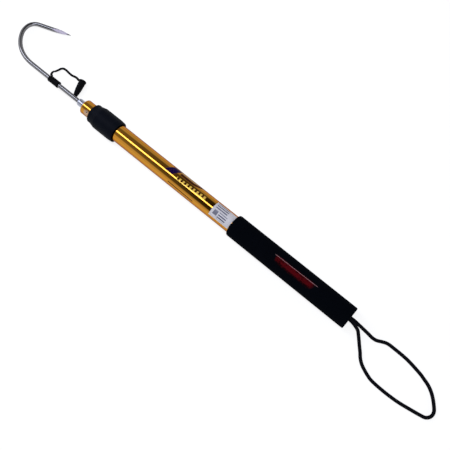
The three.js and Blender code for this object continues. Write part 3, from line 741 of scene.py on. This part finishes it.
def wire_tree():
    """Sweeps round wire along a line, with flats ground on its last stretch down to a point"""
    maker, given = geometry_tree(
        "ground_wire",
        [
            ("Radius", "NodeSocketFloat"), ("Tip Radius", "NodeSocketFloat"),
            ("Sides", "NodeSocketInt"), ("Flats", "NodeSocketInt"),
            ("Flat Turn", "NodeSocketFloat"), ("Ground From", "NodeSocketFloat"),
            ("Plane", "NodeSocketVector"), ("Material", "NodeSocketMaterial"),
        ],
    )
    curve = maker.node("GeometryNodeMeshToCurve", None, {0: given["Geometry"]})
    caught = maker.tree.nodes.new("GeometryNodeCaptureAttribute")
    for kind, label in (("VECTOR", "place"), ("VECTOR", "forward"), ("FLOAT", "share")):
        caught.capture_items.new(kind, label)
    links = {
        "Geometry": curve,
        "place": maker.node("GeometryNodeInputPosition"),
        "forward": maker.node("GeometryNodeInputTangent"),
        "share": maker.node("GeometryNodeSplineParameter"),
    }
    for label, wire in links.items():
        maker.tree.links.new(wire.socket, caught.inputs[label])
    held = maker.outputs(caught)
    values = {"Resolution": given["Sides"], "Radius": given["Radius"]}
    circle = maker.node("GeometryNodeCurvePrimitiveCircle", None, values)
    values = {"Curve": held["Geometry"], "Profile Curve": circle, "Fill Caps": True}
    swept = maker.node("GeometryNodeCurveToMesh", None, values)
    offset = maker.vector("SUBTRACT", maker.node("GeometryNodeInputPosition"), held["place"])
    side_way = maker.vector("CROSS_PRODUCT", held["forward"], given["Plane"])
    high = maker.vector("DOT_PRODUCT", offset, given["Plane"], out="Value")
    wide = maker.vector("DOT_PRODUCT", offset, side_way, out="Value")
    angle = maker.math("ARCTAN2", wide, high) - given["Flat Turn"]
    step = math.tau / given["Flats"]
    from_flat = angle - step * maker.math("ROUND", angle / step)
    ground = maker.clamp((held["share"] - given["Ground From"]) / (1 - given["Ground From"]))
    flat = given["Radius"] + (given["Tip Radius"] - given["Radius"]) * ground
    limit = maker.math("MINIMUM", given["Radius"], flat / maker.math("COSINE", from_flat))
    moved = maker.vector("SCALE", offset, scale=limit / given["Radius"])
    place = maker.vector("ADD", held["place"], moved)
    shaped = maker.node("GeometryNodeSetPosition", None, {"Geometry": swept, "Position": place})
    return close_tree(maker, shaped, given["Material"])


def strap_tree():
    """Sweeps a flat strap with rounded edges along a line, widening from its start to its end"""
    widen_from, widen_rate, edge_share, edge_steps = 0.35, 4, 0.42, 4
    maker, given = geometry_tree(
        "moulded_strap",
        [
            ("Width", "NodeSocketFloat"), ("Thickness", "NodeSocketFloat"),
            ("Start Share", "NodeSocketFloat"), ("Material", "NodeSocketMaterial"),
        ],
    )
    curve = maker.node("GeometryNodeMeshToCurve", None, {0: given["Geometry"]})
    widening = maker.rise(maker.node("GeometryNodeSplineParameter"), widen_from, widen_rate)
    radius = given["Start Share"] + (1 - given["Start Share"]) * widening
    sized = maker.node("GeometryNodeSetCurveRadius", None, {"Curve": curve, "Radius": radius})
    stood = maker.node("GeometryNodeSetCurveNormal", None, {"Curve": sized})
    stood.socket.node.mode = "Z_UP"
    values = {"Width": given["Width"], "Height": given["Thickness"]}
    outline = maker.node("GeometryNodeCurvePrimitiveQuadrilateral", None, values)
    values = {"Curve": outline, "Radius": given["Thickness"] * edge_share, "Count": edge_steps}
    eased_outline = maker.node("GeometryNodeFilletCurve", {"mode": "POLY"}, values)
    values = {"Curve": stood, "Profile Curve": eased_outline, "Fill Caps": True}
    return close_tree(maker, maker.node("GeometryNodeCurveToMesh", None, values), given["Material"])


def grow(line, tree, values, name, smooth):
    """The plain mesh object that a geometry tree makes from a line, which is then deleted"""
    modifier = line.modifiers.new("grow", "NODES")
    modifier.node_group = tree
    for item in tree.interface.items_tree:
        if item.item_type == "SOCKET" and item.in_out == "INPUT" and item.name in values:
            modifier[item.identifier] = values[item.name]
    bpy.context.view_layer.update()
    seen = line.evaluated_get(bpy.context.evaluated_depsgraph_get())
    mesh = bpy.data.meshes.new_from_object(seen)
    mesh.name = name
    old_mesh = line.data
    bpy.data.objects.remove(line)
    bpy.data.meshes.remove(old_mesh)
    bm = bmesh.new()
    bm.from_mesh(mesh)
    bmesh.ops.remove_doubles(bm, verts=bm.verts, dist=SAME_PLACE)
    bmesh.ops.recalc_face_normals(bm, faces=bm.faces)
    bm.to_mesh(mesh)
    bm.free()
    return shaded(name, mesh, smooth)


def mount(piece, body, node):
    """Puts a piece on its body, in place of its CAD node"""
    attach(piece, body)
    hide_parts(node)


def dress(node, material):
    """Gives a CAD node its finish"""
    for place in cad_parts[node].material_slots:
        place.material = material


class GAFF_OT_stage(bpy.types.Operator):
    """Makes the floor, the light and the camera"""

    bl_idname = "gaff.stage"
    bl_label = "Studio"

    def execute(self, context):
        scene = context.scene
        scene.view_settings.view_transform = "Standard"
        self.make_camera(scene)
        self.make_floor()
        self.make_light(scene)
        return {"FINISHED"}

    def make_camera(self, scene):
        level = math.cos(ELEVATION)
        back = Vector((math.sin(AZIMUTH) * level, -math.cos(AZIMUTH) * level, math.sin(ELEVATION)))
        lens = bpy.data.cameras.new("camera")
        lens.sensor_width = SENSOR
        lens.lens = LENS
        camera = linked("camera", lens)
        camera.location = LOOK_AT + back * AWAY
        camera.rotation_mode = "QUATERNION"
        camera.rotation_quaternion = (-back).to_track_quat("-Z", "Y")
        scene.camera = camera

    def make_floor(self):
        reach, gap = 6.0, 0.1 * MM
        ways = ((-1, -1), (1, -1), (1, 1), (-1, 1))
        mesh = bpy.data.meshes.new("floor")
        mesh.from_pydata([(reach * x, reach * y, -gap) for x, y in ways], [], [(0, 1, 2, 3)])
        mesh.materials.append(self.floor_paint())
        linked("floor", mesh)

    def floor_paint(self):
        """Pale paint, which the camera and reflections see brighter than it is lit"""
        glow, glow_share = 1.12, 0.75
        made = Finish("floor")
        rays = made.outputs(made.tree.nodes.new("ShaderNodeLightPath"))
        seen = made.clamp(rays["Is Camera Ray"] + rays["Is Glossy Ray"] + rays["Is Transmission Ray"])
        tone = made.mix(made.noise(9.0) * 0.2, solid(colours().floor), scaled(colours().floor, 0.97))
        paint = made.finish(Base_Color=tone, Roughness=0.9, Specular_IOR_Level=0.1)
        lit = Wire(made, made.shader.outputs[0])
        shining = made.node("ShaderNodeEmission", None, {"Color": (1, 1, 1, 1), "Strength": glow})
        blend = made.node("ShaderNodeMixShader", None, {0: seen * glow_share, 1: lit, 2: shining})
        made.tree.links.new(blend.socket, made.tree.nodes["Material Output"].inputs["Surface"])
        return paint

    def make_light(self, scene):
        """A pale level light that falls off overhead, with paler sides at both ends, and one long lamp"""
        world = bpy.data.worlds.new("studio")
        scene.world = world
        world.use_nodes = True
        maker = Maker(world.node_tree)
        x, y, z = maker.parts(maker.node("ShaderNodeTexCoord", out="Generated"))
        greys = ((0.0, 0.85), (0.4, 0.8), (0.5, 0.55), (0.62, 0.06), (1.0, 0.025))
        stops = [(height, solid((grey, grey, grey))) for height, grey in greys]
        height = z + maker.math("MAXIMUM", -y, 0.0) * 0.16
        shade = maker.node("ShaderNodeValToRGB", {"stops": stops}, {"Fac": height})
        sides = maker.rise(maker.math("ABSOLUTE", x), 0.28, 1.3) * maker.clamp(z * 2.5)
        lit = maker.mix(1.0, shade, maker.mix(sides, (0, 0, 0, 1), (0.9, 0.9, 0.95, 1)), "ADD")
        background = maker.tree.nodes["Background"]
        maker.tree.links.new(lit.socket, background.inputs["Color"])
        maker.tree.links.new((0.85 - y * 0.15).socket, background.inputs["Strength"])
        self.make_strip()

    def make_strip(self):
        """The lamp, which lies along the gaff and shines down on it from the front"""
        place, target, along = Vector((-0.3, -0.227, 1.25)), Vector((0.05, AXIS.y, 0)), Vector((1, 0, 0))
        lamp = bpy.data.lights.new("key strip", "AREA")
        lamp.shape = "RECTANGLE"
        lamp.size, lamp.size_y = 3.0, 0.3
        lamp.energy = 18.5
        lamp.color = (0.84, 0.87, 1.0)
        down = (target - place).normalized()
        across = down.cross(along).normalized()
        turn = Matrix((along - down * along.dot(down), across, -down)).transposed()
        linked("key strip", lamp).matrix_world = Matrix.Translation(place) @ turn.normalized().to_4x4()


class GAFF_OT_tubes(bpy.types.Operator):
    """Makes the main tube and the inner tube with its rolled end"""

    bl_idname = "gaff.tubes"
    bl_label = "Tubes"

    def execute(self, context):
        wall, lip = sizes().tube_wall, sizes().lip_radius
        front, rear, radius = round_box("outer_tube")
        profile = [(front, radius - wall), (front, radius), (rear, radius), (rear, radius - wall)]
        main_tube = turned("main_tube", eased(profile, sizes().edge_round), printed_gold())
        mount(main_tube, "pole", "outer_tube")
        front, rear, radius = round_box("inner_tube")
        lip_x, lip_r, lip_inside = front + lip, radius - lip, lip - wall
        profile = [
            (rear, radius - wall), (rear, radius),
            *arc(lip_x, lip_r, lip, lip, 90, 180, 12),
            *arc(lip_x, lip_r, lip_inside, lip_inside, 180, 90, 8),
        ]
        front_tube = turned("front_tube", profile, worn_gold())
        mount(front_tube, "hook_section", "inner_tube")
        return {"FINISHED"}


class GAFF_OT_collar(bpy.types.Operator):
    """Makes the lock collar's domed shell"""

    bl_idname = "gaff.collar"
    bl_label = "Lock Collar"

    def execute(self, context):
        shell = moulded("collar_plastic", colours().collar, grain=1900.0, depth=0.03, shine=0.04)
        front, rear, radius = round_box("lock_collar")
        ring_radius, front_round, rear_round = 14 * MM, 2 * MM, 0.9 * MM
        ring_end, cone_end, taper_start = front + 5.4 * MM, front + 13.4 * MM, rear - 7.2 * MM
        rear_radius, bend, bend_steps = radius - 0.6 * MM, 0.9 * MM, 5
        bore, lead, chamber = 10.95 * MM, 12.55 * MM, 14.2 * MM
        mouth_end, chamber_front, chamber_rear = front + 4.2 * MM, front + 10 * MM, rear - 2 * MM
        outline = [
            (front + front_round, ring_radius), (ring_end, ring_radius), (cone_end, radius),
            (taper_start, radius), (rear, rear_radius),
        ]
        bends = [rounded(*corner, bend, bend_steps) for corner in zip(outline, outline[1:], outline[2:])]
        profile = [
            (front, bore),
            *arc(front + front_round, ring_radius - front_round, front_round, front_round, 180, 90, 10),
            *itertools.chain(*bends),
            *arc(rear - rear_round, rear_radius - rear_round, rear_round, rear_round, 80, 0, 6),
            (rear, chamber), (chamber_rear, chamber), (chamber_front, chamber), (mouth_end, lead),
            (mouth_end, bore),
        ]
        mount(turned("collar_shell", profile, shell, smooth=25.0), "lock", "lock_collar")
        dress("collar_retainer", shell)
        return {"FINISHED"}


class GAFF_OT_grip(bpy.types.Operator):
    """Makes the foam grip and the butt plug in the foot"""

    bl_idname = "gaff.grip"
    bl_label = "Grip and Butt"

    def execute(self, context):
        front, rear, radius = round_box("grip")
        front_round, rear_round, bore = 2.8 * MM, 1.8 * MM, 12.65 * MM
        profile = [
            (front, bore),
            *arc(front + front_round, radius - front_round, front_round, front_round, 180, 90, 12),
            *arc(rear - rear_round, radius - rear_round, rear_round, rear_round, 90, 0, 10),
            (rear, bore),
        ]
        mount(turned("foam_sleeve", profile, grip_foam()), "pole", "grip")
        front, rear, flange = round_box("butt_plug")
        spigot, cavity, hole, edge = 11.35 * MM, 8.75 * MM, 5.4 * MM, 0.5 * MM
        shoulder, web = rear - 3 * MM, rear - 6 * MM
        profile = [
            (rear, hole), (rear, flange), (shoulder, flange), (shoulder, spigot),
            (front, spigot), (front, cavity), (web, cavity), (web, hole),
        ]
        plug = turned("foot_plug", eased(profile, edge), moulded("black_plastic", colours().foam))
        mount(plug, "pole", "butt_plug")
        return {"FINISHED"}


class GAFF_OT_label(bpy.types.Operator):
    """Makes the plain label, stuck a little askew round the main tube, with one corner lifted"""

    bl_idname = "gaff.label"
    bl_label = "Label"

    def execute(self, context):
        long, wide = 28, 56
        inner, thickness = 12.53 * MM, 0.15 * MM
        bm = bmesh.new()
        uv_layer = bm.loops.layers.uv.new("UVMap")
        layers = [self.layer(bm, radius, long, wide) for radius in (inner, inner + thickness)]

        def face(*corners):
            """A face from the layer, row and column of each of its corners"""
            made = bm.faces.new([layers[layer][i][j] for layer, i, j in corners])
            for loop, (_, i, j) in zip(made.loops, corners):
                loop[uv_layer].uv = (i / long, j / wide)

        for layer in range(len(layers)):
            for i in range(long):
                for j in range(wide):
                    face((layer, i, j), (layer, i + 1, j), (layer, i + 1, j + 1), (layer, i, j + 1))
        rim = [(i, 0) for i in range(long)] + [(long, j) for j in range(wide)]
        rim += [(i, wide) for i in range(long, 0, -1)] + [(0, j) for j in range(wide, 0, -1)]
        for here, after in zip(rim, rim[1:] + rim[:1]):
            face((0, *here), (0, *after), (1, *after), (1, *here))
        mount(new_piece("tube_label", bm, label_paper()), "pole", "label")
        return {"FINISHED"}

    def layer(self, bm, radius, long, wide):
        """One side of the sheet: rows of points round the tube, from the front to the grip"""
        low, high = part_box("label")
        start, turn, skew, margin = math.radians(-61), math.radians(103), 0.35 * MM, 0.01
        lift, loose_from, falloff = 0.18 * MM, 0.94, 6
        rows = []
        for i in range(long + 1):
            share = i / long
            row = []
            for j in range(wide + 1):
                angle = start + turn * j / wide
                loose = max(0.0, j / wide - loose_from) / (1 - loose_from)
                reach = radius + lift * loose * (1 - share) ** falloff
                x = low.x + (high.x - low.x) * (margin + (1 - margin) * share) + skew * math.sin(angle)
                out = Vector((x, reach * math.sin(angle), reach * math.cos(angle)))
                row.append(bm.verts.new(AXIS + out))
            rows.append(row)
        return rows


def hook_line():
    """The wire's centre line with its plane level, from the shank's foot round the bend to the point"""
    radii, turns, steps_per_degree = (61, 29, 14.6), (59, 28, 71.3), 0.5
    shank, leg = 93.4 * MM, 50 * MM
    rear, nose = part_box("hook")[1].x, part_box("hook_plug")[0].x
    x, across, heading = nose - shank, 0.0, 180.0
    flat = [(rear, across), (nose, across), (x, across)]
    for radius, turn in zip(radii, turns):
        steps = math.ceil(turn * steps_per_degree)
        step = turn / steps
        chord = 2 * radius * MM * math.sin(math.radians(step / 2))
        for _ in range(steps):
            heading -= step / 2
            x += chord * math.cos(math.radians(heading))
            across += chord * math.sin(math.radians(heading))
            heading -= step / 2
            flat.append((x, across))
    way = Vector((math.cos(math.radians(heading)), math.sin(math.radians(heading))))
    ground = sizes().point_grind
    plain = leg - ground
    lengths = [plain * (step + 1) / PLAIN_STEPS for step in range(PLAIN_STEPS)]
    lengths += [plain + ground * (step + 1) / GROUND_STEPS for step in range(GROUND_STEPS)]
    flat += [(x + way.x * length, across + way.y * length) for length in lengths]
    return [Vector((station, AXIS.y + side, AXIS.z)) for station, side in flat]


def resting_turn(mesh):
    """The turn about the tubes' axis that brings the hook down until it touches the floor"""
    turns = []
    for vertex in mesh.vertices:
        across, up = vertex.co.y - AXIS.y, vertex.co.z - AXIS.z
        reach = math.hypot(across, up)
        if reach > AXIS.z:
            turns.append(math.atan2(up, across) + math.asin(AXIS.z / reach))
    return min(turns)


class GAFF_OT_hook(bpy.types.Operator):
    """Makes the hook by sweeping its wire along its bend, with three flats ground to the point"""

    bl_idname = "gaff.hook"
    bl_label = "Hook"

    def execute(self, context):
        points = hook_line()
        runs = runs_along(points)
        plane = Vector((0, 0, 1))
        values = {
            "Radius": sizes().wire_diameter / 2, "Tip Radius": 0.1 * MM, "Sides": 48, "Flats": 3,
            "Flat Turn": math.radians(30), "Ground From": 1 - sizes().point_grind / runs[-1],
            "Plane": tuple(plane), "Material": stainless(),
        }
        hook = grow(line_object("wire_line", points), wire_tree(), values, "hook_wire", smooth=24.0)
        self.finish_point(hook.data, points, ground_steel(runs[-1]))
        self.unwrap(hook.data, points, runs, plane)
        down = Matrix.Rotation(-resting_turn(hook.data), 4, "X")
        hook.data.transform(Matrix.Translation(AXIS) @ down @ Matrix.Translation(-AXIS))
        mount(hook, "hook_section", "hook")
        return {"FINISHED"}

    def finish_point(self, mesh, points, bright):
        """Gives the faces of the ground flats their brighter finish, but not the wire's round or its end"""
        mesh.materials.append(bright)
        flat_radius, most_end_on = 0.985 * sizes().wire_diameter / 2, 0.5
        start, tip = points[-1 - GROUND_STEPS], points[-1]
        way = (tip - start).normalized()
        for face in mesh.polygons:
            offset = face.center - start
            run = offset.dot(way)
            on_flat = (offset - way * run).length < flat_radius
            if run > 0 and on_flat and abs(face.normal.dot(way)) < most_end_on:
                face.material_index = 1

    def unwrap(self, mesh, points, runs, plane):
        """Puts the turn round the wire in U and the run along it, in metres, in V"""
        layer = mesh.uv_layers.new(name="UVMap")
        places = []
        for vertex in mesh.vertices:
            nearest = min(range(len(points)), key=lambda i: (vertex.co - points[i]).length_squared)
            before, after = points[max(nearest - 1, 0)], points[min(nearest + 1, len(points) - 1)]
            forward = (after - before).normalized()
            offset = vertex.co - points[nearest]
            turn = math.atan2(offset.dot(forward.cross(plane)), offset.dot(plane))
            places.append((turn / math.tau + 0.5, runs[nearest] + offset.dot(forward)))
        for loop in mesh.loops:
            layer.data[loop.index].uv = places[loop.vertex_index]


class GAFF_OT_socket(bpy.types.Operator):
    """Makes the turned plug that holds the shank and the pin through it"""

    bl_idname = "gaff.socket"
    bl_label = "Hook Plug and Pin"

    def execute(self, context):
        front, rear, _ = round_box("hook_plug")
        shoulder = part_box("inner_tube")[0].x + 1.15 * MM
        bore, nose, body, room, edge = 3.15 * MM, 5.2 * MM, 9.45 * MM, 1 * MM, 0.15 * MM
        nose_length, rim = 3 * MM, bore + 0.15 * MM
        profile = [
            (rear, bore), (rear, body), (shoulder + room, body), (shoulder, body - room), (shoulder, nose),
            *arc(front + nose_length, rim, nose_length, nose - rim, 90, 180, 12),
            (front, bore),
        ]
        bare = turned_metal("bare_aluminium", PLUG_ALUMINIUM, roughness=0.2)
        plug = turned("nose_plug", eased(profile, edge), bare, smooth=28.0)
        mount(plug, "hook_section", "hook_plug")
        low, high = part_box("cross_pin")
        centre = (low + high) / 2
        upright = Matrix.Rotation(math.radians(90), 4, "Y")
        turn = Matrix.Translation(centre) @ Matrix.Rotation(PIN_LEAN, 4, "X") @ upright
        half, radius, edge, dimple = 10.76 * MM, 1.5 * MM, 0.35 * MM, 0.1 * MM
        dimple_floor, dimple_rim = 0.5 * radius, 0.7 * radius
        profile = [
            (dimple - half, 0), (dimple - half, dimple_floor), (-half, dimple_rim),
            *arc(edge - half, radius - edge, edge, edge, 180, 90, 4),
            *arc(half - edge, radius - edge, edge, edge, 90, 0, 4),
            (half, dimple_rim), (half - dimple, dimple_floor), (half - dimple, 0),
        ]
        steel = pin_steel(centre, turn.col[0].to_3d())
        pin = turned("pin_ends", profile, steel, sides=32, around=turn)
        mount(pin, "hook_section", "cross_pin")
        return {"FINISHED"}


class GAFF_OT_guard(bpy.types.Operator):
    """Makes the rubber band on the shank, its strap and the cap"""

    bl_idname = "gaff.guard"
    bl_label = "Point Guard"

    def execute(self, context):
        rubber = moulded("black_rubber", colours().rubber, grain=1700.0, depth=0.04, shine=0.04)
        mount(self.make_band(rubber), "guard", "guard_band")
        path, _ = smooth_route(STRAP_ROUTE, Vector((BAND_X, AXIS.y, 0)), 0.8 * MM)
        values = {
            "Width": sizes().strap_width, "Thickness": sizes().strap_thickness,
            "Start Share": 0.7, "Material": rubber,
        }
        line = line_object("strap_line", path)
        strap = grow(line, strap_tree(), values, "guard_leash", smooth=40.0)
        mount(strap, "guard", "guard_strap")
        mount(self.make_cap(rubber), "guard", "point_cap")
        dress("wiper_ring", rubber)
        dress("butt_buffer", rubber)
        return {"FINISHED"}

    def make_band(self, rubber):
        """The band, with a bead round each of its ends"""
        front, rear, radius = round_box("guard_band")
        bore, low, edge = 3.12 * MM, radius - 0.25 * MM, 0.35 * MM
        crest, bead = 1.6 * MM, 2.4 * MM
        profile = [
            (front, bore), (front, low), (front + crest, radius), (front + bead, low),
            (rear - bead, low), (rear - crest, radius), (rear, low), (rear, bore),
        ]
        return turned("shank_band", eased(profile, edge), rubber, sides=64)

    def make_cap(self, rubber):
        """The cap, hollow from its lip, lying on its waist and its lip"""
        long, lip, edge = sizes().cap_length, 3 * MM, 1.2 * MM
        tip, waist, mouth, step = 3.1 * MM, 4.6 * MM, 5.5 * MM, 0.5 * MM
        waist_x, lip_x = 12.8 * MM, long - lip
        tilt = math.atan2(mouth - waist, lip_x - waist_x)
        height = waist / math.cos(tilt) - waist_x * math.sin(tilt)
        place = Vector((BAND_X + 40.7 * MM, AXIS.y + 4.6 * MM, height))
        yaw = Matrix.Rotation(math.radians(107.6), 4, "Z")
        turn = Matrix.Translation(place) @ yaw @ Matrix.Rotation(-tilt, 4, "Y")
        outside = [
            *arc(tip, 0, tip, tip, 180, 108, 12),
            (0.5 * waist_x, 3.75 * MM), (waist_x, waist - 0.02 * MM),
            (lip_x - 0.6 * MM, mouth - step), (lip_x, mouth - 0.3 * step),
            *arc(lip_x + edge, mouth - edge, edge, edge, 160, 90, 5),
            *arc(long - edge, mouth - edge, edge, edge, 90, 0, 6),
        ]
        inside = [
            (long - 0.3 * MM, 4.1 * MM), (long - 1.2 * MM, 3.85 * MM), (waist_x, 2.7 * MM),
            (7 * MM, 1.6 * MM), (6.8 * MM, 0),
        ]
        return turned("cap_shell", outside + inside, rubber, sides=72, around=turn, smooth=40.0)


class GAFF_OT_lanyard(bpy.types.Operator):
    """Makes the wrist lanyard and the stopper knot inside the foot"""

    bl_idname = "gaff.lanyard"
    bl_label = "Lanyard"

    def execute(self, context):
        sheath = braided_cord()
        floor_start = Vector((FOOT_X, AXIS.y, 0))
        diameter, clear, strand = sizes().cord_diameter, 0.02 * MM, 1.65 * MM
        path, length = smooth_route(LANYARD_ROUTE, floor_start, 1.3 * MM)
        cord = tube_along("wrist_cord", path, diameter / 2 - clear, sheath, sides=16)
        mount(cord, "pole", "lanyard")
        knot = tube_along("stopper_knot", self.knot_line(), strand, sheath, sides=12, closed=True)
        mount(knot, "pole", "lanyard_knot")
        return {"FINISHED"}

    def knot_line(self):
        """A trefoil round the tubes' axis: two turns, which cross three times"""
        low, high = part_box("lanyard_knot")
        size, steps = 2.2 * MM, 160
        loop = []
        for step in range(steps):
            turn = 2 * math.tau * step / steps
            lobe = 1.5 * turn
            reach = size * (2 + math.cos(lobe))
            point = Vector((size * math.sin(lobe), reach * math.sin(turn), -reach * math.cos(turn)))
            loop.append((low + high) / 2 + point)
        return loop


class GAFF_OT_lock_parts(bpy.types.Operator):
    """Finishes the parts inside the tubes and the collar"""

    bl_idname = "gaff.lock_parts"
    bl_label = "Inner Parts"

    def execute(self, context):
        nylon = moulded("white_nylon", NYLON, roughness=0.42, grain=1200.0, depth=0.02, shine=0.5)
        ferrule = turned_metal("ferrule_aluminium", FERRULE_ALUMINIUM, roughness=0.26)
        for node in ("collet", "stop_sleeve", "guide_ring", "end_plug"):
            dress(node, nylon)
        for node in ("thread_ferrule", "end_plug_rivet"):
            dress(node, ferrule)
        dress("thrust_ring", turned_metal("brass", BRASS, roughness=0.26))
        return {"FINISHED"}


class GAFF_PT_parts(bpy.types.Panel):
    """Lists the gaff's pieces, sizes and colours"""

    bl_label = "Gaff"
    bl_idname = "GAFF_PT_parts"
    bl_space_type = "VIEW_3D"
    bl_region_type = "UI"
    bl_category = "Gaff"

    def draw(self, context):
        for operator in OPERATORS:
            self.layout.operator(operator.bl_idname)
        for group in (context.scene.gaff_sizes, context.scene.gaff_colours):
            box = self.layout.box()
            for name in group.bl_rna.properties.keys():
                if name not in ("rna_type", "name"):
                    box.prop(group, name)


OPERATORS = (
    GAFF_OT_stage, GAFF_OT_lanyard, GAFF_OT_tubes, GAFF_OT_collar, GAFF_OT_grip,
    GAFF_OT_label, GAFF_OT_hook, GAFF_OT_socket, GAFF_OT_guard, GAFF_OT_lock_parts,
)
CLASSES = (GaffSizes, GaffColours, *OPERATORS, GAFF_PT_parts)


def register():
    for made in CLASSES:
        bpy.utils.register_class(made)
    bpy.types.Scene.gaff_sizes = PointerProperty(type=GaffSizes)
    bpy.types.Scene.gaff_colours = PointerProperty(type=GaffColours)


def unregister():
    del bpy.types.Scene.gaff_colours
    del bpy.types.Scene.gaff_sizes
    for made in reversed(CLASSES):
        bpy.utils.unregister_class(made)


def main():
    register()
    bpy.ops.gaff.stage()
    bpy.ops.gaff.lanyard()
    bpy.ops.gaff.tubes()
    bpy.ops.gaff.collar()
    bpy.ops.gaff.grip()
    bpy.ops.gaff.label()
    bpy.ops.gaff.hook()
    bpy.ops.gaff.socket()
    bpy.ops.gaff.guard()
    bpy.ops.gaff.lock_parts()


if __name__ == "__main__":
    main()
